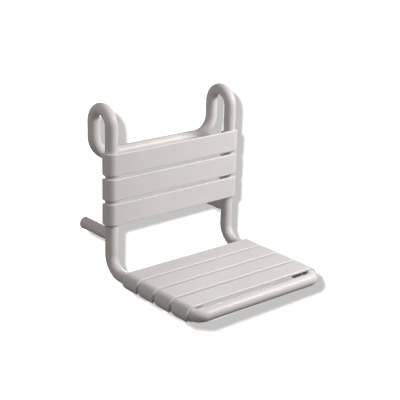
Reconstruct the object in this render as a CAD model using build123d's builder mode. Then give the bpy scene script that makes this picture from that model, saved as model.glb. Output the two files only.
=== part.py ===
"""Hanging shower seat with a backrest, hooked over a wall grab rail.

Frame: +X to the sitter's left as seen from the front, -Y out into the room, +Z up.
The origin lies on the axis of the grab rail, midway between the two hooks.
All sizes are in millimetres.
"""

import os
from math import sqrt

from build123d import *

# Frame tube: a polyamide sheath pressed over a steel core
TUBE_OD = 33.0
SHEATH_WALL = 3.0
CORE_WALL = 2.5
UPRIGHT_SPACING = 403.0
HOOK_BEND_RADIUS = 39.0
REAR_LEG_DROP = 95.0
CROSSBAR_BEND_RADIUS = 55.0
SEAT_BEND_RADIUS = 50.0
CORNER_BEND_RADIUS = 22.0

# Grab rail that the hooks hang on
RAIL_OD = 33.0

# Slats
SLAT_WIDTH = 59.0
SLAT_GAP = 8.5
SLAT_THICKNESS = 7.0
SLAT_EDGE_RADIUS = 2.0
WRAP_TIP_FLAT = 9.0
SEAT_SLATS = 4
BACK_SLATS = 3
RIB_THICKNESS = 3.0
RIB_DEPTH = 4.0
RIB_SPACING = 36.0

# Where the slats lie on the frame
BACK_SLAT_DROP = 66.0
BACK_TO_SEAT = 133.5
SEAT_SETBACK = 80.0
FRONT_BAR_GAP = 1.0

# Keepers that close the slat ends around the tube
KEEPER_WIDTH = 40.0
KEEPER_FLANGE_REACH = 14.0
KEEPER_FLANGE_THICKNESS = 8.0
KEEPER_SCREW_SPACING = 24.0
KEEPER_SCREW_RADIUS = 2.0
KEEPER_SCREW_HEAD_RADIUS = 4.0
KEEPER_SCREW_HEAD_HEIGHT = 3.0
KEEPER_SCREW_BITE = 5.0
RIB_TO_KEEPER = 4.0

# Joints between the tube sections
SPIGOT_LENGTH = 40.0
SPIGOT_TO_BEND = 2.0
JOINT_SCREW_OFFSET = 12.0
JOINT_SCREW_RADIUS = 2.5
JOINT_SCREW_HEAD_RADIUS = 4.5
JOINT_SCREW_LENGTH = 13.0
JOINT_SCREW_SINK = 0.2

# Wall supports
WALL_DISTANCE = 124.0
SUPPORT_DROP = 17.5
SUPPORT_COPE_RELIEF = 4.0
SUPPORT_SCREW_RADIUS = 4.0
SUPPORT_SCREW_HEAD_RADIUS = 6.5
SUPPORT_SCREW_HEAD_HEIGHT = 8.0
SUPPORT_SCREW_TIP_GAP = 5.0
SUPPORT_SOCKET_RADIUS = 8.0
SUPPORT_SOCKET_DEPTH = 20.0
ANCHOR_LENGTH = 30.0
PAD_THICKNESS = 6.0
PAD_STEM_LENGTH = 8.0
PAD_EDGE_RADIUS = 2.5

# Running clearance of every screw in a plain hole
SCREW_CLEARANCE = 0.25

# Derived sizes and places
TUBE_RADIUS = TUBE_OD / 2
CORE_RADIUS = TUBE_RADIUS - SHEATH_WALL
BORE_RADIUS = CORE_RADIUS - CORE_WALL
WRAP_RADIUS = TUBE_RADIUS + SLAT_THICKNESS
HALF_SPACING = UPRIGHT_SPACING / 2
SLAT_PITCH = SLAT_WIDTH + SLAT_GAP
WRAP_CORNER_RADIUS = (SLAT_WIDTH - WRAP_TIP_FLAT) / 2
JOINT_SCREW_DEPTH = TUBE_RADIUS - sqrt(TUBE_RADIUS**2 - JOINT_SCREW_HEAD_RADIUS**2) + JOINT_SCREW_SINK
SUPPORT_SCREW_BITE = 2 * BORE_RADIUS - SUPPORT_SCREW_TIP_GAP

UPRIGHT_Y = -HOOK_BEND_RADIUS
REAR_LEG_Y = HOOK_BEND_RADIUS
HOOK_Z = RAIL_OD / 2 - (HOOK_BEND_RADIUS - TUBE_RADIUS)
CROSSBAR_Z = HOOK_Z - REAR_LEG_DROP

BACK_TOP_Z = HOOK_Z - BACK_SLAT_DROP
BACK_BOTTOM_Z = BACK_TOP_Z - (BACK_SLATS - 1) * SLAT_PITCH - SLAT_WIDTH
UPRIGHT_SEAM_Z = BACK_TOP_Z - SLAT_WIDTH / 2
SUPPORT_Z = BACK_BOTTOM_Z - SUPPORT_DROP - TUBE_RADIUS
SEAT_Z = BACK_BOTTOM_Z - BACK_TO_SEAT

SEAT_REAR_Y = UPRIGHT_Y - SEAT_SETBACK
SEAT_FRONT_Y = SEAT_REAR_Y - (SEAT_SLATS - 1) * SLAT_PITCH - SLAT_WIDTH
FRONT_BAR_Y = SEAT_FRONT_Y - FRONT_BAR_GAP - TUBE_RADIUS
SIDE_SEAM_Y = FRONT_BAR_Y + CORNER_BEND_RADIUS + SPIGOT_TO_BEND + SPIGOT_LENGTH / 2

WALL_Y = UPRIGHT_Y + WALL_DISTANCE
SUPPORT_END_Y = WALL_Y - PAD_THICKNESS
SUPPORT_HEAD_Y = SUPPORT_END_Y - SUPPORT_SOCKET_DEPTH

SIDES = {"left": -1, "right": 1}

os.makedirs("parts", exist_ok=True)


def save(piece, name):
    """Label one finished piece and write it as its own STEP file."""
    piece.part.label = name
    export_step(piece.part, f"parts/{name}.step")


# ---------------------------------------------------------------- tube routes


def hook_route(side):
    """Crossbar middle, bend up, rear leg, hook over the rail, down to the seam."""
    x = side * HALF_SPACING
    with BuildLine() as route:
        bar = Line(
            (0, REAR_LEG_Y, CROSSBAR_Z),
            (x - side * CROSSBAR_BEND_RADIUS, REAR_LEG_Y, CROSSBAR_Z),
        )
        bend = TangentArc(
            bar @ 1,
            (x, REAR_LEG_Y, CROSSBAR_Z + CROSSBAR_BEND_RADIUS),
            tangent=bar % 1,
        )
        leg = Line(bend @ 1, (x, REAR_LEG_Y, HOOK_Z))
        hook = TangentArc(leg @ 1, (x, UPRIGHT_Y, HOOK_Z), tangent=leg % 1)
        Line(hook @ 1, (x, UPRIGHT_Y, UPRIGHT_SEAM_Z))
    return route.line


def side_route(side):
    """Upright below the seam, bend forward, side of the seat."""
    x = side * HALF_SPACING
    with BuildLine() as route:
        upright = Line(
            (x, UPRIGHT_Y, UPRIGHT_SEAM_Z),
            (x, UPRIGHT_Y, SEAT_Z + SEAT_BEND_RADIUS),
        )
        bend = TangentArc(
            upright @ 1,
            (x, UPRIGHT_Y - SEAT_BEND_RADIUS, SEAT_Z),
            tangent=upright % 1,
        )
        Line(bend @ 1, (x, SIDE_SEAM_Y, SEAT_Z))
    return route.line


def front_route():
    """Front bar with its two corners, from side seam to side seam."""
    corner_y = FRONT_BAR_Y + CORNER_BEND_RADIUS
    corner_x = HALF_SPACING - CORNER_BEND_RADIUS
    with BuildLine() as route:
        left = Line(
            (-HALF_SPACING, SIDE_SEAM_Y, SEAT_Z),
            (-HALF_SPACING, corner_y, SEAT_Z),
        )
        left_corner = TangentArc(left @ 1, (-corner_x, FRONT_BAR_Y, SEAT_Z), tangent=left % 1)
        bar = Line(left_corner @ 1, (corner_x, FRONT_BAR_Y, SEAT_Z))
        right_corner = TangentArc(bar @ 1, (HALF_SPACING, corner_y, SEAT_Z), tangent=bar % 1)
        Line(right_corner @ 1, (HALF_SPACING, SIDE_SEAM_Y, SEAT_Z))
    return route.line


# ---------------------------------------------------------------- tube joints


def joint_screw_places(centre, along, outward):
    """The two screw seats of a tube joint, on the tube's surface, z pointing out."""
    return [
        Plane(
            origin=Vector(*centre)
            + Vector(*along) * (step * JOINT_SCREW_OFFSET)
            + Vector(*outward) * TUBE_RADIUS,
            z_dir=outward,
        )
        for step in (-1, 1)
    ]


def crossbar_joint():
    return (0, REAR_LEG_Y, CROSSBAR_Z), (1, 0, 0), (0, 0, -1)


def upright_joint(side):
    return (side * HALF_SPACING, UPRIGHT_Y, UPRIGHT_SEAM_Z), (0, 0, 1), (-side, 0, 0)


def side_joint(side):
    return (side * HALF_SPACING, SIDE_SEAM_Y, SEAT_Z), (0, 1, 0), (-side, 0, 0)


def support_axis(side, y):
    """Plane across the support at y, with z pointing back to the wall."""
    return Plane(origin=(side * HALF_SPACING, y, SUPPORT_Z), x_dir=(1, 0, 0), z_dir=(0, 1, 0))


def frame_tube(route, outer, inner, joints, support_side=None):
    """Round tube along a route, drilled for its joint screws and support screw."""
    with BuildPart() as tube:
        # Section turned 45 degrees, so the seam line along the tube clears the holes
        with BuildSketch(Plane(origin=route @ 0, x_dir=(1, 1, 1), z_dir=route % 0)):
            Circle(outer)
            Circle(inner, mode=Mode.SUBTRACT)
        sweep(path=route)
        hole = JOINT_SCREW_RADIUS + SCREW_CLEARANCE
        sink = JOINT_SCREW_HEAD_RADIUS + JOINT_SCREW_DEPTH + SCREW_CLEARANCE
        seats = [seat for joint in joints for seat in joint_screw_places(*joint)]
        for seat in seats:
            with BuildSketch(seat):
                Circle(hole)
            extrude(amount=-TUBE_RADIUS, mode=Mode.SUBTRACT)
            # Countersink of 90 degrees
            with Locations(seat.offset(-(sink - hole) / 2)):
                Cone(hole, sink, sink - hole, mode=Mode.SUBTRACT)
        if support_side is not None:
            with BuildSketch(support_axis(support_side, UPRIGHT_Y)):
                Circle(SUPPORT_SCREW_RADIUS + SCREW_CLEARANCE)
            extrude(amount=TUBE_OD, mode=Mode.SUBTRACT)
    return tube


def spigot(joint):
    """Solid bar inside the core tubes, tapped for the two joint screws."""
    centre, along, outward = joint
    with BuildPart() as bar:
        with BuildSketch(Plane(origin=centre, z_dir=along)):
            Circle(BORE_RADIUS)
        extrude(amount=SPIGOT_LENGTH / 2, both=True)
        with Locations(*joint_screw_places(*joint)):
            Hole(JOINT_SCREW_RADIUS, depth=JOINT_SCREW_DEPTH + JOINT_SCREW_LENGTH)
    return bar


def joint_screws(joints):
    """Countersunk screws of all tube joints, heads just under the surface."""
    cone_height = JOINT_SCREW_HEAD_RADIUS - JOINT_SCREW_RADIUS
    with BuildPart() as screws:
        for joint in joints:
            for seat in joint_screw_places(*joint):
                head = seat.offset(-JOINT_SCREW_DEPTH)
                with BuildSketch(head):
                    Circle(JOINT_SCREW_RADIUS)
                extrude(amount=-JOINT_SCREW_LENGTH)
                with BuildSketch(head):
                    Circle(JOINT_SCREW_HEAD_RADIUS)
                with BuildSketch(head.offset(-cone_height)):
                    Circle(JOINT_SCREW_RADIUS)
                loft()
                with BuildSketch(head):
                    RegularPolygon(JOINT_SCREW_RADIUS / 2, 6)
                extrude(amount=-cone_height, mode=Mode.SUBTRACT)
    return screws


def make_frame():
    """Polyamide sheaths, steel cores, spigots and joint screws of the tube loop."""
    for name, side in SIDES.items():
        hook_joints = [crossbar_joint(), upright_joint(side)]
        side_joints = [upright_joint(side), side_joint(side)]
        save(frame_tube(hook_route(side), TUBE_RADIUS, CORE_RADIUS, hook_joints), f"hook_tube_{name}")
        save(frame_tube(hook_route(side), CORE_RADIUS, BORE_RADIUS, hook_joints), f"hook_core_{name}")
        save(frame_tube(side_route(side), TUBE_RADIUS, CORE_RADIUS, side_joints, side), f"side_tube_{name}")
        save(frame_tube(side_route(side), CORE_RADIUS, BORE_RADIUS, side_joints, side), f"side_core_{name}")
        save(spigot(upright_joint(side)), f"upright_spigot_{name}")
        save(spigot(side_joint(side)), f"side_spigot_{name}")

    front_joints = [side_joint(side) for side in SIDES.values()]
    save(frame_tube(front_route(), TUBE_RADIUS, CORE_RADIUS, front_joints), "front_tube")
    save(frame_tube(front_route(), CORE_RADIUS, BORE_RADIUS, front_joints), "front_core")
    save(spigot(crossbar_joint()), "crossbar_spigot")

    upright_joints = [upright_joint(side) for side in SIDES.values()]
    save(joint_screws([crossbar_joint()] + upright_joints + front_joints), "joint_screws")


# ---------------------------------------------------------------- slats


def seat_slat_plane(index):
    """Rear end of a seat slat: x along the slat, y out of its face, z to its front edge."""
    y = SEAT_REAR_Y - index * SLAT_PITCH
    return Plane(origin=(0, y, SEAT_Z), x_dir=(1, 0, 0), z_dir=(0, -1, 0))


def back_slat_plane(index):
    """Lower end of a back slat: x along the slat, y out of its face, z to its top edge."""
    z = BACK_TOP_Z - index * SLAT_PITCH - SLAT_WIDTH
    return Plane(origin=(0, UPRIGHT_Y, z), x_dir=(-1, 0, 0), z_dir=(0, 0, 1))


def keeper_screw_places(plane):
    """Screw seats under the keeper flanges of one slat, z pointing away from the board."""
    reach = HALF_SPACING - WRAP_RADIUS - KEEPER_FLANGE_REACH / 2
    drop = TUBE_RADIUS - KEEPER_FLANGE_THICKNESS
    return [
        Plane(
            origin=plane.origin
            + plane.x_dir * (side * reach)
            + plane.y_dir * drop
            + plane.z_dir * (SLAT_WIDTH / 2 + step * KEEPER_SCREW_SPACING / 2),
            z_dir=-plane.y_dir,
        )
        for side in SIDES.values()
        for step in (-1, 1)
    ]


def slat(plane):
    """Flat board whose ends wrap round the outer half of the two tubes."""
    rib_length = UPRIGHT_SPACING - 2 * (WRAP_RADIUS + KEEPER_FLANGE_REACH + RIB_TO_KEEPER)
    with BuildPart() as board:
        with BuildSketch(plane):
            SlotCenterToCenter(UPRIGHT_SPACING, 2 * WRAP_RADIUS)
        extrude(amount=SLAT_WIDTH)
        fillet(board.faces().filter_by(Axis(plane.origin, plane.z_dir)).edges(), SLAT_EDGE_RADIUS)

        # Hollow for the tubes, open underneath between them
        with BuildSketch(plane):
            SlotCenterToCenter(UPRIGHT_SPACING, TUBE_OD)
            with Locations((0, -(TUBE_RADIUS + WRAP_RADIUS) / 2)):
                Rectangle(UPRIGHT_SPACING, SLAT_THICKNESS)
        extrude(amount=SLAT_WIDTH, mode=Mode.SUBTRACT)

        # The far corners of the wraps are rounded, as seen from the side
        with BuildSketch(Plane(origin=plane.origin, x_dir=plane.z_dir, z_dir=-plane.x_dir)) as outline:
            Rectangle(SLAT_WIDTH, 2 * WRAP_RADIUS, align=(Align.MIN, Align.CENTER))
            fillet(outline.vertices().group_by(Axis.Y)[0], WRAP_CORNER_RADIUS)
        extrude(amount=HALF_SPACING + WRAP_RADIUS, both=True, mode=Mode.INTERSECT)

        # Two ribs under the board, between the keepers
        middle = plane.origin + plane.z_dir * (SLAT_WIDTH / 2) + plane.y_dir * TUBE_RADIUS
        with BuildSketch(Plane(origin=middle, x_dir=plane.x_dir, z_dir=-plane.y_dir)):
            with GridLocations(0, RIB_SPACING, 1, 2):
                Rectangle(rib_length, RIB_THICKNESS)
        extrude(amount=RIB_DEPTH)

        with Locations(*keeper_screw_places(plane)):
            Hole(KEEPER_SCREW_RADIUS, depth=KEEPER_FLANGE_THICKNESS + KEEPER_SCREW_BITE)
    return board


def keeper(plane, side):
    """Half ring inside the tube, screwed up under the board, that closes one slat end."""
    flange_length = WRAP_RADIUS - TUBE_RADIUS + KEEPER_FLANGE_REACH
    with BuildPart() as block:
        with BuildSketch(plane.offset((SLAT_WIDTH - KEEPER_WIDTH) / 2)):
            with Locations((side * HALF_SPACING, 0)):
                Circle(WRAP_RADIUS)
                Circle(TUBE_RADIUS, mode=Mode.SUBTRACT)
            with Locations((side * (HALF_SPACING - WRAP_RADIUS / 2), (TUBE_RADIUS - WRAP_RADIUS) / 2)):
                Rectangle(WRAP_RADIUS, TUBE_RADIUS + WRAP_RADIUS, mode=Mode.INTERSECT)
            flange_x = HALF_SPACING - TUBE_RADIUS - flange_length / 2
            with Locations((side * flange_x, TUBE_RADIUS - KEEPER_FLANGE_THICKNESS / 2)):
                Rectangle(flange_length, KEEPER_FLANGE_THICKNESS)
        extrude(amount=KEEPER_WIDTH)
        with Locations(*keeper_screw_places(plane)):
            Hole(KEEPER_SCREW_RADIUS + SCREW_CLEARANCE, depth=KEEPER_FLANGE_THICKNESS)
    return block


def keeper_screws(planes):
    """Pan-head screws that hold the keepers of one group of slats."""
    with BuildPart() as screws:
        for plane in planes:
            for seat in keeper_screw_places(plane):
                with BuildSketch(seat):
                    Circle(KEEPER_SCREW_HEAD_RADIUS)
                extrude(amount=KEEPER_SCREW_HEAD_HEIGHT)
                with BuildSketch(seat):
                    Circle(KEEPER_SCREW_RADIUS)
                extrude(amount=-(KEEPER_FLANGE_THICKNESS + KEEPER_SCREW_BITE))
                with BuildSketch(seat.offset(KEEPER_SCREW_HEAD_HEIGHT)):
                    RegularPolygon(KEEPER_SCREW_RADIUS, 6)
                extrude(amount=-KEEPER_SCREW_HEAD_HEIGHT / 2, mode=Mode.SUBTRACT)
    return screws


def make_slats():
    """Seat and back slats with their keepers and screws."""
    groups = {
        "seat": [seat_slat_plane(index) for index in range(SEAT_SLATS)],
        "back": [back_slat_plane(index) for index in range(BACK_SLATS)],
    }
    for group, planes in groups.items():
        for number, plane in enumerate(planes, start=1):
            save(slat(plane), f"{group}_slat_{number}")
            for name, side in SIDES.items():
                toward = side * (1 if plane.x_dir.X > 0 else -1)
                save(keeper(plane, toward), f"{group}_keeper_{name}_{number}")
        save(keeper_screws(planes), f"{group}_keeper_screws")


# ---------------------------------------------------------------- wall supports


def coped_bar(side, radius):
    """Round bar from the upright back to the pad, coped to the upright."""
    with BuildPart() as bar:
        with BuildSketch(support_axis(side, UPRIGHT_Y + SUPPORT_COPE_RELIEF)):
            Circle(radius)
        extrude(amount=SUPPORT_END_Y - UPRIGHT_Y - SUPPORT_COPE_RELIEF)
        with BuildSketch(Plane(origin=(side * HALF_SPACING, UPRIGHT_Y, SUPPORT_Z))):
            Circle(TUBE_RADIUS)
        extrude(amount=TUBE_OD, both=True, mode=Mode.SUBTRACT)
    return bar.part


def support_tube(side):
    """Sheath of the support."""
    with BuildPart() as tube:
        add(coped_bar(side, TUBE_RADIUS))
        with BuildSketch(support_axis(side, UPRIGHT_Y)):
            Circle(CORE_RADIUS)
        extrude(amount=WALL_DISTANCE, mode=Mode.SUBTRACT)
    return tube


def support_core(side):
    """Spacer inside the support, bored for the long screw and the pad's stem."""
    with BuildPart() as core:
        add(coped_bar(side, CORE_RADIUS))
        with Locations(support_axis(side, SUPPORT_END_Y)):
            CounterBoreHole(
                SUPPORT_SCREW_RADIUS + SCREW_CLEARANCE,
                SUPPORT_SOCKET_RADIUS,
                SUPPORT_SOCKET_DEPTH,
                depth=SUPPORT_END_Y - UPRIGHT_Y,
            )
    return core


def support_anchor(side):
    """Plug inside the upright's core, tapped across for the support screw."""
    with BuildPart() as plug:
        with BuildSketch(Plane(origin=(side * HALF_SPACING, UPRIGHT_Y, SUPPORT_Z))):
            Circle(BORE_RADIUS)
        extrude(amount=ANCHOR_LENGTH / 2, both=True)
        with Locations(support_axis(side, UPRIGHT_Y + BORE_RADIUS)):
            Hole(SUPPORT_SCREW_RADIUS, depth=SUPPORT_SCREW_BITE)
    return plug


def support_screws():
    """The two long socket screws that draw the supports against the uprights."""
    tip_y = UPRIGHT_Y + BORE_RADIUS - SUPPORT_SCREW_BITE
    with BuildPart() as screws:
        for side in SIDES.values():
            seat = support_axis(side, SUPPORT_HEAD_Y)
            with BuildSketch(seat):
                Circle(SUPPORT_SCREW_HEAD_RADIUS)
            extrude(amount=SUPPORT_SCREW_HEAD_HEIGHT)
            with BuildSketch(seat):
                Circle(SUPPORT_SCREW_RADIUS)
            extrude(amount=tip_y - SUPPORT_HEAD_Y)
            with BuildSketch(seat.offset(SUPPORT_SCREW_HEAD_HEIGHT)):
                RegularPolygon(SUPPORT_SCREW_RADIUS, 6)
            extrude(amount=-SUPPORT_SCREW_HEAD_HEIGHT / 2, mode=Mode.SUBTRACT)
    return screws


def support_pad(side):
    """Soft cap that rests on the wall, with a stem pressed into the core."""
    with BuildPart() as pad:
        with BuildSketch(support_axis(side, SUPPORT_END_Y)):
            Circle(TUBE_RADIUS)
        extrude(amount=PAD_THICKNESS)
        fillet(pad.edges().sort_by(Axis.Y)[-1], PAD_EDGE_RADIUS)
        with BuildSketch(support_axis(side, SUPPORT_END_Y)):
            Circle(SUPPORT_SOCKET_RADIUS)
        extrude(amount=-PAD_STEM_LENGTH)
    return pad


def make_supports():
    """Both wall supports."""
    for name, side in SIDES.items():
        save(support_tube(side), f"support_tube_{name}")
        save(support_core(side), f"support_core_{name}")
        save(support_anchor(side), f"support_anchor_{name}")
        save(support_pad(side), f"support_pad_{name}")
    save(support_screws(), "support_screws")


make_frame()
make_slats()
make_supports()
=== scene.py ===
"""Hanging shower seat: finishes, moulded slats, keepers, screws, studio and camera.

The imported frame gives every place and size. The tubes, supports and pads are the
frame's own nodes with real finishes. The slats, keepers and pan-head screws are
moulded and turned here, with the soft edges that the frame's solids leave out.
Lengths are in metres.
"""

from math import acos, asin, atan2, cos, pi, radians, sin

import bmesh
import bpy
from mathutils import Matrix, Vector


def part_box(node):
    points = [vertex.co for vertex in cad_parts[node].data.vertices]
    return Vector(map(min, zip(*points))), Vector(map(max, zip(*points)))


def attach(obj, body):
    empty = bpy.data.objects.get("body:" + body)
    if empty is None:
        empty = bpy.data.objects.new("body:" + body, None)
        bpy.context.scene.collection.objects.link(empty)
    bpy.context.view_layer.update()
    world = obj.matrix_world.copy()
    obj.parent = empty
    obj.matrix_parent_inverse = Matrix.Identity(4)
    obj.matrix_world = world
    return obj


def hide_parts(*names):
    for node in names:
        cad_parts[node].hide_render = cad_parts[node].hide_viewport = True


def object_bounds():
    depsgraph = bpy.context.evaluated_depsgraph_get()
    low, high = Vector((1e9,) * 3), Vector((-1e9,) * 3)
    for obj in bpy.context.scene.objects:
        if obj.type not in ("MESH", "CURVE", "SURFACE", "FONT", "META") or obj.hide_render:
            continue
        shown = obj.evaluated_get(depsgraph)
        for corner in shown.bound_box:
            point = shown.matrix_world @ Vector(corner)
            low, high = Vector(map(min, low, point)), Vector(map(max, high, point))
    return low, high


bl_info = {
    "name": "Hanging shower seat",
    "version": (1, 0, 0),
    "blender": (4, 5, 0),
    "location": "3D View > Sidebar > Shower Seat",
    "description": "Builds and finishes a slatted shower seat that hangs on a grab rail",
    "category": "Object",
}

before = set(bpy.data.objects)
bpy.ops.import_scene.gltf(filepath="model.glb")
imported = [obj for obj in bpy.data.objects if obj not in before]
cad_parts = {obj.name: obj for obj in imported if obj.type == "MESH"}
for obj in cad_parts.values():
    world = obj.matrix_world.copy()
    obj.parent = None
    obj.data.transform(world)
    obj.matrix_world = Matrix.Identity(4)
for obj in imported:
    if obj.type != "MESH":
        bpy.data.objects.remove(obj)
CAD_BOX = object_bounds()

MM = 0.001
SIDES = {"left": -1, "right": 1}
SEAT_SLATS = [f"seat_slat_{number}" for number in range(1, 5)]
BACK_SLATS = [f"back_slat_{number}" for number in range(1, 4)]
SEAT_ACROSS, SEAT_NORMAL = Vector((0, -1, 0)), Vector((0, 0, 1))
BACK_ACROSS, BACK_NORMAL = Vector((0, 0, 1)), Vector((0, -1, 0))


def node_size(name):
    """Width, depth and height of one frame node."""
    low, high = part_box(name)
    return Vector(high) - Vector(low)


def node_centre(name):
    """Middle of one frame node's box."""
    low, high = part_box(name)
    return (Vector(low) + Vector(high)) / 2


TUBE_RADIUS = node_size("support_tube_left").z / 2
WRAP_RADIUS = node_size("seat_slat_1").z / 2
SLAT_WIDTH = node_size("seat_slat_1").y
HALF_SPACING = node_size("seat_slat_1").x / 2 - WRAP_RADIUS
KEEPER_WIDTH = node_size("seat_keeper_left_1").y
KEEPER_REACH = node_size("seat_keeper_left_1").x

# Keeper flange: its thickness, and where its two screws stand
KEEPER_FLANGE = 8 * MM
SCREW_INSET = 7 * MM
SCREW_SPACING = 24 * MM


def linear(colour):
    """sRGB hex colour as linear red, green and blue."""
    parts = [int(colour[at : at + 2], 16) / 255 for at in (1, 3, 5)]
    return [part / 12.92 if part <= 0.04045 else ((part + 0.055) / 1.055) ** 2.4 for part in parts]


# ---------------------------------------------------------------- settings


class SeatSizes(bpy.types.PropertyGroup):
    """Edge and rib sizes of the moulded pieces."""

    slat_edge: bpy.props.FloatProperty(
        name="Slat edge",
        description="Radius of the rounded outer edge of each slat",
        default=2.4 * MM,
        subtype="DISTANCE",
    )
    wrap_corner: bpy.props.FloatProperty(
        name="Wrap corner",
        description="Radius of the far corners of each wrap, as seen from the side",
        default=19.0 * MM,
        subtype="DISTANCE",
    )
    under_edge: bpy.props.FloatProperty(
        name="Under edge",
        description="Radius of the rounded inner edge of each slat",
        default=1.5 * MM,
        subtype="DISTANCE",
    )
    keeper_edge: bpy.props.FloatProperty(
        name="Keeper edge",
        description="Radius of the edges of keepers and ribs",
        default=0.6 * MM,
        subtype="DISTANCE",
    )
    rib_depth: bpy.props.FloatProperty(
        name="Rib depth",
        description="Depth of the ribs under each slat",
        default=4.0 * MM,
        subtype="DISTANCE",
    )
    rib_thickness: bpy.props.FloatProperty(
        name="Rib thickness",
        description="Thickness of the ribs under each slat",
        default=3.0 * MM,
        subtype="DISTANCE",
    )
    rib_spacing: bpy.props.FloatProperty(
        name="Rib spacing",
        description="Distance between the two ribs under each slat",
        default=36.0 * MM,
        subtype="DISTANCE",
    )


class SeatFinishes(bpy.types.PropertyGroup):
    """Colours and gloss of the real materials."""

    slat_colour: bpy.props.FloatVectorProperty(
        name="Slats",
        description="Colour of the moulded polyamide slats",
        default=linear("#d9d5d4"),
        subtype="COLOR",
    )
    tube_colour: bpy.props.FloatVectorProperty(
        name="Tubes",
        description="Colour of the polyamide tube sheaths",
        default=linear("#d6d1cf"),
        subtype="COLOR",
    )
    pad_colour: bpy.props.FloatVectorProperty(
        name="Pads",
        description="Colour of the soft wall pads",
        default=linear("#c3bdbb"),
        subtype="COLOR",
    )
    slat_roughness: bpy.props.FloatProperty(
        name="Slat roughness",
        description="Roughness of the satin slat faces",
        default=0.36,
    )
    tube_roughness: bpy.props.FloatProperty(
        name="Tube roughness",
        description="Roughness of the glossier tube sheaths",
        default=0.2,
    )


class StudioSettings(bpy.types.PropertyGroup):
    """Camera, backdrop and lights."""

    azimuth: bpy.props.FloatProperty(
        name="Azimuth",
        description="Angle of the camera round the seat, zero straight in front",
        default=radians(-40.55),
        subtype="ANGLE",
    )
    pitch: bpy.props.FloatProperty(
        name="Pitch",
        description="How far the camera looks down",
        default=radians(19.1),
        subtype="ANGLE",
    )
    roll: bpy.props.FloatProperty(
        name="Roll",
        description="Tilt of the camera about its own line of sight",
        default=radians(1.64),
        subtype="ANGLE",
    )
    camera_place: bpy.props.FloatVectorProperty(
        name="Camera",
        description="Where the camera stands",
        default=(-1.7078, -2.1539, 0.7017),
        subtype="TRANSLATION",
    )
    lens: bpy.props.FloatProperty(
        name="Lens",
        description="Focal length on a 36 mm sensor, in millimetres",
        default=94.9,
        subtype="DISTANCE_CAMERA",
    )
    board_distance: bpy.props.FloatProperty(
        name="Board distance",
        description="Distance from the camera to the white board behind the seat",
        default=4.2,
        subtype="DISTANCE",
    )
    board_size: bpy.props.FloatProperty(
        name="Board size",
        description="Width and height of the white board",
        default=2.6,
        subtype="DISTANCE",
    )
    board_power: bpy.props.FloatProperty(
        name="Board light",
        description="Power of the light that shines on the board only",
        default=650.0,
        subtype="POWER",
    )
    key_power: bpy.props.FloatProperty(
        name="Key",
        description="Power of the large soft light at the right",
        default=44.0,
        subtype="POWER",
    )
    back_power: bpy.props.FloatProperty(
        name="Back",
        description="Power of the light behind and below the seat, at the right",
        default=22.0,
        subtype="POWER",
    )
    fill_power: bpy.props.FloatProperty(
        name="Fill",
        description="Power of the weak light at the left",
        default=6.0,
        subtype="POWER",
    )
    ambient: bpy.props.FloatProperty(
        name="Ambient",
        description="Strength of the even light from all round",
        default=0.22,
    )


# ---------------------------------------------------------------- mesh helpers


def arc(centre, radius, start, end, steps):
    """Points of a circular arc in the plane, ends included."""
    return [
        (centre[0] + radius * cos(angle), centre[1] + radius * sin(angle))
        for angle in (start + (end - start) * step / steps for step in range(steps + 1))
    ]


def rounded_outline(corners):
    """Closed outline from (x, y, radius) corners, each turned into an arc."""
    outline = []
    for index, (x, y, radius) in enumerate(corners):
        here = Vector((x, y))
        before = Vector(corners[index - 1][:2])
        after = Vector(corners[(index + 1) % len(corners)][:2])
        if radius == 0:
            outline.append((x, y))
            continue
        back, ahead = (before - here).normalized(), (after - here).normalized()
        half = back.angle(ahead) / 2
        reach = radius / sin(half)
        middle = here + (back + ahead).normalized() * reach
        first = here + back * (reach * cos(half)) - middle
        last = here + ahead * (reach * cos(half)) - middle
        start = atan2(first.y, first.x)
        turn = (atan2(last.y, last.x) - start + pi) % (2 * pi) - pi
        outline += arc(middle, radius, start, start + turn, 5)
    return outline


def place_matrix(origin, x_axis, y_axis, z_axis):
    """Matrix that takes a piece's own axes to the frame."""
    matrix = Matrix((x_axis, y_axis, z_axis)).transposed().to_4x4()
    matrix.translation = origin
    return matrix


def add_prism(mesh, outline, depth, radius, matrix):
    """Solid outline, depth thick about its middle, its rims rounded to the radius."""
    low = [mesh.verts.new((x, y, -depth / 2)) for x, y in outline]
    high = [mesh.verts.new((x, y, depth / 2)) for x, y in outline]
    count = len(outline)
    faces = [mesh.faces.new(low[::-1]), mesh.faces.new(high)]
    rims = [rim for face in faces for rim in face.edges]
    for index in range(count):
        after = (index + 1) % count
        mesh.faces.new((low[index], low[after], high[after], high[index]))
    made = bmesh.ops.bevel(
        mesh, geom=rims, offset=radius, segments=3, profile=0.5, affect="EDGES", clamp_overlap=True
    )
    corners = set(made["verts"]) | set(low) | set(high)
    bmesh.ops.transform(mesh, matrix=matrix, verts=[corner for corner in corners if corner.is_valid])


def add_turned(mesh, profile, matrix, steps=24):
    """Turned solid from (radius, height, hexagonal) rings, closed at both ends."""
    rings = []
    for radius, height, hexagonal in profile:
        ring = []
        for step in range(steps):
            angle = 2 * pi * step / steps
            reach = radius
            if hexagonal:
                reach = radius / cos((angle + pi / 6) % (pi / 3) - pi / 6)
            place = Vector((reach * cos(angle), reach * sin(angle), height))
            ring.append(mesh.verts.new(matrix @ place))
        rings.append(ring)
    for lower, upper in zip(rings, rings[1:]):
        for step in range(steps):
            after = (step + 1) % steps
            mesh.faces.new((lower[step], lower[after], upper[after], upper[step]))
    mesh.faces.new(rings[0][::-1])
    mesh.faces.new(rings[-1])


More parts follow.
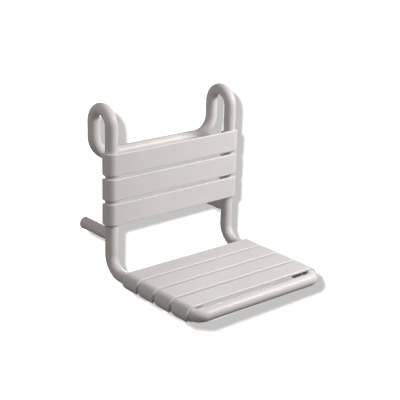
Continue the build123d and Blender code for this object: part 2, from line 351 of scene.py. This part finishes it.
def finish_piece(name, mesh, material, replaced):
    """Object from a bmesh, smooth with weighted normals, riding on the frame."""
    bmesh.ops.recalc_face_normals(mesh, faces=mesh.faces)
    data = bpy.data.meshes.new(name)
    mesh.to_mesh(data)
    mesh.free()
    data.shade_smooth()
    data.set_sharp_from_angle(angle=radians(50))
    data.materials.append(material)
    piece = bpy.data.objects.new(name, data)
    bpy.context.scene.collection.objects.link(piece)
    normals = piece.modifiers.new("weighted_normals", "WEIGHTED_NORMAL")
    normals.keep_sharp = True
    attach(piece, "root")
    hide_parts(*replaced)
    return piece


# ---------------------------------------------------------------- materials


def add_node(tree, kind, inputs=None, **settings):
    """Adds a node, sets its properties, and sets or links its inputs."""
    made = tree.nodes.new(kind)
    for key, value in settings.items():
        setattr(made, key, value)
    for key, value in (inputs or {}).items():
        if isinstance(value, bpy.types.NodeSocket):
            tree.links.new(value, made.inputs[key])
        else:
            made.inputs[key].default_value = value
    return made


def new_material(name):
    """Node material with an empty tree."""
    material = bpy.data.materials.new(name)
    material.use_nodes = True
    material.node_tree.nodes.clear()
    return material


def polyamide(name, colour, roughness, specular, ripple):
    """Solid-coloured polyamide, injection moulded.

    The eye sees a warm light grey with a soft sheen, a faint ripple where the
    skin cooled, and roughness that drifts a little from place to place.
    """
    material = new_material(name)
    tree = material.node_tree
    place = add_node(tree, "ShaderNodeTexCoord").outputs["Object"]
    # Cooling ripple of the skin, a few millimetres from crest to crest
    skin = add_node(
        tree,
        "ShaderNodeTexNoise",
        {"Vector": place, "Scale": 1 / ripple, "Detail": 2.0, "Roughness": 0.45},
    )
    # Melt flow leaves patches about 35 mm wide that are a shade lighter or duller
    flow = add_node(
        tree,
        "ShaderNodeTexNoise",
        {"Vector": place, "Scale": 1 / (35 * MM), "Detail": 3.0, "Roughness": 0.5},
    )
    shade = add_node(
        tree,
        "ShaderNodeMapRange",
        {
            "Value": flow.outputs["Fac"],
            "From Min": 0.25,
            "From Max": 0.75,
            "To Min": 0.985,
            "To Max": 1.015,
        },
    )
    tint = add_node(
        tree,
        "ShaderNodeHueSaturation",
        {"Color": (*colour, 1), "Value": shade.outputs["Result"]},
    )
    gloss = add_node(
        tree,
        "ShaderNodeMapRange",
        {
            "Value": flow.outputs["Fac"],
            "From Min": 0.25,
            "From Max": 0.75,
            "To Min": roughness - 0.04,
            "To Max": roughness + 0.05,
        },
    )
    bump = add_node(
        tree,
        "ShaderNodeBump",
        {"Height": skin.outputs["Fac"], "Strength": 1.0, "Distance": 0.03 * MM},
    )
    surface = add_node(
        tree,
        "ShaderNodeBsdfPrincipled",
        {
            "Base Color": tint.outputs["Color"],
            "Roughness": gloss.outputs["Result"],
            "Normal": bump.outputs["Normal"],
            "IOR": 1.53,
            "Specular IOR Level": specular,
        },
    )
    add_node(tree, "ShaderNodeOutputMaterial", {"Surface": surface.outputs["BSDF"]})
    return material


def soft_pad(name, colour):
    """Thermoplastic elastomer, moulded: matt and finely grained, with painted shade that darkens its
    pores.
    """
    material = new_material(name)
    tree = material.node_tree
    place = add_node(tree, "ShaderNodeTexCoord").outputs["Object"]
    # Spark-eroded mould grain, 0.5 mm in life and drawn at 0.8 mm to show
    grain = add_node(
        tree,
        "ShaderNodeTexVoronoi",
        {"Vector": place, "Scale": 1 / (0.8 * MM), "Randomness": 1.0},
    )
    # Painted shade: the grain's pits, low in the bump below, are coloured a little darker
    shade = add_node(
        tree,
        "ShaderNodeMapRange",
        {"Value": grain.outputs["Distance"], "From Max": 0.7, "To Min": 0.96, "To Max": 1.02},
    )
    tint = add_node(
        tree,
        "ShaderNodeHueSaturation",
        {"Color": (*colour, 1), "Value": shade.outputs["Result"]},
    )
    bump = add_node(
        tree,
        "ShaderNodeBump",
        {"Height": grain.outputs["Distance"], "Strength": 0.5, "Distance": 0.08 * MM},
    )
    surface = add_node(
        tree,
        "ShaderNodeBsdfPrincipled",
        {
            "Base Color": tint.outputs["Color"],
            "Normal": bump.outputs["Normal"],
            "Roughness": 0.7,
            "IOR": 1.5,
        },
    )
    add_node(tree, "ShaderNodeOutputMaterial", {"Surface": surface.outputs["BSDF"]})
    return material


def steel(name, light, dark, roughness, grain, stretch):
    """Steel with a grained surface: drawn for the screws, zinc-dipped for the core tubes.

    Drawn steel shows fine lines along the wire; a zinc dip shows dull, pale spangles.
    """
    material = new_material(name)
    tree = material.node_tree
    place = add_node(tree, "ShaderNodeTexCoord").outputs["Object"]
    drawn = add_node(tree, "ShaderNodeMapping", {"Vector": place, "Scale": stretch})
    spangle = add_node(
        tree,
        "ShaderNodeTexVoronoi",
        {"Vector": drawn.outputs["Vector"], "Scale": 1 / grain, "Randomness": 1.0},
    )
    tint = add_node(
        tree,
        "ShaderNodeMix",
        data_type="RGBA",
        inputs={
            "Factor": spangle.outputs["Distance"],
            6: (*linear(light), 1),
            7: (*linear(dark), 1),
        },
    )
    gloss = add_node(
        tree,
        "ShaderNodeMapRange",
        {"Value": spangle.outputs["Distance"], "To Min": roughness, "To Max": roughness + 0.15},
    )
    surface = add_node(
        tree,
        "ShaderNodeBsdfPrincipled",
        {"Base Color": tint.outputs[2], "Roughness": gloss.outputs["Result"], "Metallic": 1.0},
    )
    add_node(tree, "ShaderNodeOutputMaterial", {"Surface": surface.outputs["BSDF"]})
    return material


def backdrop_paint(name, colour, glow):
    """Matt white studio paint with a faint even glow, clear when seen from behind."""
    material = new_material(name)
    tree = material.node_tree
    paint = add_node(tree, "ShaderNodeBsdfDiffuse", {"Color": (*linear(colour), 1)})
    light = add_node(tree, "ShaderNodeEmission", {"Color": (1, 1, 1, 1), "Strength": glow})
    lit = add_node(tree, "ShaderNodeAddShader", {0: paint.outputs[0], 1: light.outputs[0]})
    clear = add_node(tree, "ShaderNodeBsdfTransparent")
    behind = add_node(tree, "ShaderNodeNewGeometry").outputs["Backfacing"]
    sided = add_node(
        tree, "ShaderNodeMixShader", {0: behind, 1: lit.outputs[0], 2: clear.outputs[0]}
    )
    add_node(tree, "ShaderNodeOutputMaterial", {"Surface": sided.outputs[0]})
    return material


def finish_nodes(names, material):
    """Gives frame nodes their real finish."""
    for name in names:
        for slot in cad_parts[name].material_slots:
            slot.material = material


# ---------------------------------------------------------------- slats and keepers


def bent_board(mesh, sizes, matrix):
    """Board with rounded edges whose two ends bend round the outside of the tubes."""
    thickness = WRAP_RADIUS - TUBE_RADIUS
    half_width = SLAT_WIDTH / 2
    corner, outer, inner = sizes.wrap_corner, sizes.slat_edge, sizes.under_edge

    # Places along the unrolled board: distance and half width. The far corners are round as
    # seen from the side.
    bend = WRAP_RADIUS * acos(corner / WRAP_RADIUS - 1)
    places = [(HALF_SPACING * step / 6, half_width) for step in range(7)]
    places += [(HALF_SPACING + bend * step / 16, half_width) for step in range(1, 16)]
    for step in range(13):
        turn = pi / 2 * (1 - step / 12)
        angle = acos(corner * (1 - cos(turn)) / WRAP_RADIUS - 1)
        places.append((HALF_SPACING + WRAP_RADIUS * angle, half_width - corner * (1 - sin(turn))))

    # Stations add the direction of the rim's normal, halfway round at the tip's own corner
    stations = []
    for before, here, after in zip(places[:1] + places, places, places[1:] + places[-1:]):
        stations.append((*here, atan2(before[1] - after[1], after[0] - before[0])))
    along, wide, turn = stations[-1]
    stations[-1] = (along, wide, (turn + pi / 2) / 2)
    stations = [(-along, wide, -turn) for along, wide, turn in stations[:0:-1]] + stations

    # Rings from the inner face, round the rim, to the outer face: (inset, height)
    quarter = [pi / 2 * step / 5 for step in range(6)]
    rings = [(inner * (1 - cos(turn)), inner * (1 - sin(turn))) for turn in quarter[::-1]]
    rings += [
        (outer * (1 - cos(turn)), thickness - outer * (1 - sin(turn))) for turn in quarter
    ]

    def bent(along, across, height):
        """Point of the unrolled board taken round the tube."""
        radius = TUBE_RADIUS + height
        past = abs(along) - HALF_SPACING
        side = 1 if along > 0 else -1
        if past <= 0:
            return matrix @ Vector((along, radius, across))
        turn = past / WRAP_RADIUS
        reach = HALF_SPACING + radius * sin(turn)
        return matrix @ Vector((side * reach, radius * cos(turn), across))

    loops = []
    for inset, height in rings:
        upper, lower = [], []
        for along, wide, turn in stations:
            shift = along - inset * sin(turn)
            reach = wide - inset * cos(turn)
            upper.append(mesh.verts.new(bent(shift, reach, height)))
            lower.append(mesh.verts.new(bent(shift, -reach, height)))
        loops.append((upper, lower))

    count = len(stations)
    for (upper, lower), (next_upper, next_lower) in zip(loops, loops[1:]):
        loop, next_loop = upper + lower[::-1], next_upper + next_lower[::-1]
        for index in range(2 * count):
            after = (index + 1) % (2 * count)
            mesh.faces.new((loop[index], loop[after], next_loop[after], next_loop[index]))
    for upper, lower in (loops[0], loops[-1]):
        for index in range(count - 1):
            mesh.faces.new((upper[index], upper[index + 1], lower[index + 1], lower[index]))


def board_matrix(name, across, normal):
    """Own axes of one slat: x along it, y out of its face, z across it."""
    return place_matrix(node_centre(name), across.cross(-normal), normal, across)


def make_slat(name, across, normal, sizes, material):
    """One slat with its ribs."""
    matrix = board_matrix(name, across, normal)
    mesh = bmesh.new()
    bent_board(mesh, sizes, matrix)
    half_rib = HALF_SPACING - KEEPER_REACH - 4 * MM
    sunk = 0.5 * MM
    foot, lowest = sizes.rib_depth / 2, TUBE_RADIUS - sizes.rib_depth
    outline = rounded_outline(
        [
            (-half_rib, TUBE_RADIUS + sunk, 0),
            (-half_rib + foot, lowest, foot),
            (half_rib - foot, lowest, foot),
            (half_rib, TUBE_RADIUS + sunk, 0),
        ]
    )
    for step in (-1, 1):
        shift = Matrix.Translation((0, 0, step * sizes.rib_spacing / 2))
        add_prism(mesh, outline, sizes.rib_thickness, sizes.keeper_edge, matrix @ shift)
    finish_piece(f"moulded_{name}", mesh, material, [name])


def keeper_outline():
    """Half ring and flange, as seen along the tube, for the side towards +x."""
    thickness = WRAP_RADIUS - TUBE_RADIUS
    gap, feather, rounding = 0.05 * MM, 3 * MM, 1.5 * MM
    under, top = TUBE_RADIUS - KEEPER_FLANGE, TUBE_RADIUS - gap
    # The ring stops just short of the tube's lowest line, where the slat's own tip begins
    lowest = 1.5 * pi - 0.02
    outline = arc((0, 0), WRAP_RADIUS, lowest, pi - asin(under / WRAP_RADIUS), 24)
    # The last corner only closes the flange's own outline, so it is left off
    outline += rounded_outline(
        [
            (-KEEPER_REACH, under, rounding),
            (-KEEPER_REACH, top, rounding),
            (-feather, top, 0),
            (-KEEPER_REACH / 2, under + thickness, 0),
        ]
    )[:-1]
    start = pi / 2 + asin(feather / TUBE_RADIUS)
    outline += arc((0, 0), TUBE_RADIUS + gap, start, lowest, 24)
    return outline


def make_keeper(name, slat, side, across, normal, sizes, material):
    """One keeper that closes a slat end round the tube."""
    matrix = board_matrix(slat, across, normal)
    outward = matrix.to_3x3() @ Vector((1, 0, 0))
    if outward.x * side < 0:
        matrix = matrix @ Matrix.Diagonal((-1, 1, 1, 1))
    shift = Matrix.Translation((HALF_SPACING, 0, 0))
    mesh = bmesh.new()
    add_prism(mesh, keeper_outline(), KEEPER_WIDTH, sizes.keeper_edge, matrix @ shift)
    finish_piece(f"moulded_{name}", mesh, material, [name])


def pan_screw_profile():
    """Rings of a pan-head screw with a hexagon socket, from its tip to the socket's floor."""
    shank, length = 2 * MM, KEEPER_FLANGE + 4.8 * MM
    head, height, skirt = 4 * MM, 3 * MM, 0.4 * MM
    socket, crown = 1.75 * MM, 2.35 * MM
    profile = [(shank, -length, False), (shank, 0, False)]
    profile += [(head - 0.1 * MM, 0, False), (head, skirt, False)]
    for step in range(1, 6):
        turn = pi / 2 * step / 6
        reach = crown + (head - crown) * cos(turn)
        profile.append((reach, skirt + (height - skirt) * sin(turn), False))
    profile.append((socket + 0.25 * MM, height, True))
    profile.append((socket, height - 0.2 * MM, True))
    profile.append((socket, height / 2, True))
    return profile


def make_pan_screws(name, slats, across, normal, material):
    """Pan-head screws, up through the keeper flanges."""
    mesh = bmesh.new()
    reach = HALF_SPACING - WRAP_RADIUS - SCREW_INSET
    seat = TUBE_RADIUS - KEEPER_FLANGE
    upright = Matrix.Rotation(pi / 2, 4, "X")
    for slat in slats:
        matrix = board_matrix(slat, across, normal)
        for side in (-1, 1):
            for step in (-1, 1):
                place = Matrix.Translation((side * reach, seat, step * SCREW_SPACING / 2))
                add_turned(mesh, pan_screw_profile(), matrix @ place @ upright)
    finish_piece(f"turned_{name}", mesh, material, [name])


# ---------------------------------------------------------------- operators


class SHOWERSEAT_OT_slats(bpy.types.Operator):
    """Mould the seat and back slats"""

    bl_idname = "shower_seat.slats"
    bl_label = "Slats"

    def execute(self, context):
        sizes, finishes = context.scene.seat_sizes, context.scene.seat_finishes
        colour, roughness = finishes.slat_colour, finishes.slat_roughness
        material = polyamide("moulded_polyamide_slats", colour, roughness, 0.5, 5 * MM)
        for name in SEAT_SLATS:
            make_slat(name, SEAT_ACROSS, SEAT_NORMAL, sizes, material)
        for name in BACK_SLATS:
            make_slat(name, BACK_ACROSS, BACK_NORMAL, sizes, material)
        return {"FINISHED"}


class SHOWERSEAT_OT_keepers(bpy.types.Operator):
    """Mould the keepers that close the slat ends"""

    bl_idname = "shower_seat.keepers"
    bl_label = "Keepers"

    def execute(self, context):
        sizes, finishes = context.scene.seat_sizes, context.scene.seat_finishes
        colour, roughness = finishes.slat_colour, finishes.slat_roughness
        material = polyamide("moulded_polyamide_keepers", colour, roughness, 0.5, 5 * MM)
        groups = (
            ("seat_keeper", SEAT_SLATS, SEAT_ACROSS, SEAT_NORMAL),
            ("back_keeper", BACK_SLATS, BACK_ACROSS, BACK_NORMAL),
        )
        for group, slats, across, normal in groups:
            for number, slat in enumerate(slats, start=1):
                for word, side in SIDES.items():
                    name = f"{group}_{word}_{number}"
                    make_keeper(name, slat, side, across, normal, sizes, material)
        return {"FINISHED"}


class SHOWERSEAT_OT_screws(bpy.types.Operator):
    """Turn the pan-head screws and finish the other screws"""

    bl_idname = "shower_seat.screws"
    bl_label = "Screws"

    def execute(self, context):
        # Stainless steel, cold headed: bright, with fine drawn lines
        material = steel("stainless_steel_screws", "#c9c8c5", "#a5a4a1", 0.24, 0.6 * MM, (1, 1, 0.2))
        make_pan_screws("seat_keeper_screws", SEAT_SLATS, SEAT_ACROSS, SEAT_NORMAL, material)
        make_pan_screws("back_keeper_screws", BACK_SLATS, BACK_ACROSS, BACK_NORMAL, material)
        finish_nodes(["joint_screws", "support_screws"], material)
        return {"FINISHED"}


class SHOWERSEAT_OT_tubes(bpy.types.Operator):
    """Finish the polyamide sheaths and the steel inside them"""

    bl_idname = "shower_seat.tubes"
    bl_label = "Tubes"

    def execute(self, context):
        finishes = context.scene.seat_finishes
        colour, roughness = finishes.tube_colour, finishes.tube_roughness
        sheath = polyamide("polyamide_tube_sheath", colour, roughness, 0.12, 7 * MM)
        # Hot-dip galvanised steel: dull, with pale spangles about 6 mm across
        zinc = steel("galvanised_steel_core", "#b4b7ba", "#8d9195", 0.42, 6 * MM, (1, 1, 1))
        sheaths = ["front_tube"]
        cores = ["front_core", "crossbar_spigot"]
        for word in SIDES:
            sheaths += [f"hook_tube_{word}", f"side_tube_{word}", f"support_tube_{word}"]
            cores += [f"hook_core_{word}", f"side_core_{word}", f"support_core_{word}"]
            cores += [f"upright_spigot_{word}", f"side_spigot_{word}", f"support_anchor_{word}"]
        finish_nodes(sheaths, sheath)
        finish_nodes(cores, zinc)
        return {"FINISHED"}


class SHOWERSEAT_OT_pads(bpy.types.Operator):
    """Finish the soft pads that rest on the wall"""

    bl_idname = "shower_seat.pads"
    bl_label = "Pads"

    def execute(self, context):
        material = soft_pad("elastomer_pad", context.scene.seat_finishes.pad_colour)
        finish_nodes([f"support_pad_{word}" for word in SIDES], material)
        return {"FINISHED"}


class SHOWERSEAT_OT_stage(bpy.types.Operator):
    """Set up the backdrop, the lights and the camera"""

    bl_idname = "shower_seat.stage"
    bl_label = "Stage"

    def execute(self, context):
        studio = context.scene.studio_settings
        backdrop = self.backdrop(context, studio)
        self.lights(context, studio, backdrop)
        self.camera(context, studio)
        return {"FINISHED"}

    def backdrop(self, context, studio):
        """White studio board behind the seat, square to the camera."""
        right, up, back = self.camera_axes(studio)
        middle = Vector(studio.camera_place) - back * studio.board_distance
        mesh = bmesh.new()
        half = studio.board_size / 2
        corners = ((-half, -half), (half, -half), (half, half), (-half, half))
        mesh.faces.new([mesh.verts.new(middle + right * x + up * y) for x, y in corners])
        data = bpy.data.meshes.new("studio_backdrop")
        mesh.to_mesh(data)
        mesh.free()
        data.materials.append(backdrop_paint("matt_studio_paint", "#f4f4f3", 0.37))
        backdrop = bpy.data.objects.new("studio_backdrop", data)
        context.scene.collection.objects.link(backdrop)
        # The backdrop shows and takes shadows, but sends no light back to the seat
        backdrop.visible_diffuse = False
        backdrop.visible_glossy = False
        backdrop.visible_shadow = False
        return backdrop

    def lights(self, context, studio, backdrop):
        """Large soft key at the right, weaker lights behind and at the left, and even ambient."""
        middle = (Vector(CAD_BOX[0]) + Vector(CAD_BOX[1])) / 2
        key = self.area(context, "key_light", (1.15, -1.25, 0.88), middle, 0.9, studio.key_power)
        rear = self.area(context, "back_light", (1.0, 1.7, -0.9), middle, 1.4, studio.back_power)
        fill = self.area(context, "fill_light", (-1.5, -0.2, 1.0), middle, 1.0, studio.fill_power)
        # The board's own light stands above and left of the camera, so the seat's soft shadow
        # shows beside and below it
        board_data = bpy.data.lights.new("board_light", "POINT")
        board_data.energy = studio.board_power
        board_data.shadow_soft_size = 0.02
        board_light = bpy.data.objects.new("board_light", board_data)
        right, up, _ = self.camera_axes(studio)
        board_light.location = Vector(studio.camera_place) + up * 0.06 - right * 0.07
        board_light.visible_camera = False
        context.scene.collection.objects.link(board_light)

        board_only = bpy.data.collections.new("lit_by_board_light")
        board_only.objects.link(backdrop)
        board_light.light_linking.receiver_collection = board_only
        others = bpy.data.collections.new("not_lit_by_studio_lights")
        others.objects.link(backdrop)
        for link in others.collection_objects:
            link.light_linking.link_state = "EXCLUDE"
        for light in (key, rear, fill):
            light.light_linking.receiver_collection = others

        world = bpy.data.worlds.new("studio_surround")
        world.use_nodes = True
        tree = world.node_tree
        tree.nodes.clear()
        warm = (*linear("#fffaf6"), 1)
        heading = add_node(tree, "ShaderNodeTexCoord").outputs["Generated"]
        height = add_node(tree, "ShaderNodeSeparateXYZ", {"Vector": heading}).outputs["Z"]
        # The surround is darker towards the floor, so undersides stay dark
        strength = add_node(
            tree,
            "ShaderNodeMapRange",
            {
                "Value": height,
                "From Min": -0.6,
                "From Max": 0.3,
                "To Min": studio.ambient * 0.55,
                "To Max": studio.ambient,
            },
        ).outputs["Result"]
        even = add_node(tree, "ShaderNodeBackground", {"Color": warm, "Strength": strength})
        seen = add_node(tree, "ShaderNodeBackground", {"Color": (1, 1, 1, 1), "Strength": 1.0})
        path = add_node(tree, "ShaderNodeLightPath")
        mixed = add_node(
            tree,
            "ShaderNodeMixShader",
            {0: path.outputs["Is Camera Ray"], 1: even.outputs[0], 2: seen.outputs[0]},
        )
        add_node(tree, "ShaderNodeOutputWorld", {"Surface": mixed.outputs[0]})
        context.scene.world = world

    def area(self, context, name, place, target, size, power):
        """Square soft light aimed at a point."""
        data = bpy.data.lights.new(name, "AREA")
        data.size = size
        data.energy = power
        light = bpy.data.objects.new(name, data)
        light.location = place
        light.rotation_mode = "QUATERNION"
        light.rotation_quaternion = (target - light.location).to_track_quat("-Z", "Y")
        light.visible_camera = False
        context.scene.collection.objects.link(light)
        return light

    def camera_axes(self, studio):
        """The camera's directions to the right, up, and back towards itself."""
        azimuth, pitch, roll = studio.azimuth, studio.pitch, studio.roll
        back = Vector((sin(azimuth) * cos(pitch), -cos(azimuth) * cos(pitch), sin(pitch)))
        level = Vector((cos(azimuth), sin(azimuth), 0))
        right = level * cos(roll) + back.cross(level) * sin(roll)
        return right, back.cross(right), back

    def camera(self, context, studio):
        """Camera at the left, looking down on the seat."""
        data = bpy.data.cameras.new("camera")
        data.lens = studio.lens
        camera = bpy.data.objects.new("camera", data)
        axes = self.camera_axes(studio)
        camera.matrix_world = place_matrix(Vector(studio.camera_place), *axes)
        context.scene.collection.objects.link(camera)
        context.scene.camera = camera
        context.scene.view_settings.view_transform = "Standard"


class SHOWERSEAT_PT_panel(bpy.types.Panel):
    """Steps and settings of the shower seat"""

    bl_idname = "SHOWERSEAT_PT_panel"
    bl_label = "Shower Seat"
    bl_space_type = "VIEW_3D"
    bl_region_type = "UI"
    bl_category = "Shower Seat"

    def draw(self, context):
        layout, scene = self.layout, context.scene
        for step in STEPS:
            layout.operator(step.bl_idname)
        for settings in (scene.seat_sizes, scene.seat_finishes, scene.studio_settings):
            box = layout.box()
            for name in settings.__annotations__:
                box.prop(settings, name)


STEPS = (
    SHOWERSEAT_OT_tubes,
    SHOWERSEAT_OT_slats,
    SHOWERSEAT_OT_keepers,
    SHOWERSEAT_OT_screws,
    SHOWERSEAT_OT_pads,
    SHOWERSEAT_OT_stage,
)
SETTINGS = {
    "seat_sizes": SeatSizes,
    "seat_finishes": SeatFinishes,
    "studio_settings": StudioSettings,
}


def register():
    for kind in (*SETTINGS.values(), *STEPS, SHOWERSEAT_PT_panel):
        bpy.utils.register_class(kind)
    for name, kind in SETTINGS.items():
        setattr(bpy.types.Scene, name, bpy.props.PointerProperty(type=kind))


def unregister():
    for name in SETTINGS:
        delattr(bpy.types.Scene, name)
    for kind in (SHOWERSEAT_PT_panel, *STEPS, *SETTINGS.values()):
        bpy.utils.unregister_class(kind)


def main():
    """Runs every step in order."""
    register()
    for step in STEPS:
        area, name = step.bl_idname.split(".")
        getattr(getattr(bpy.ops, area), name)()


if __name__ == "__main__":
    main()
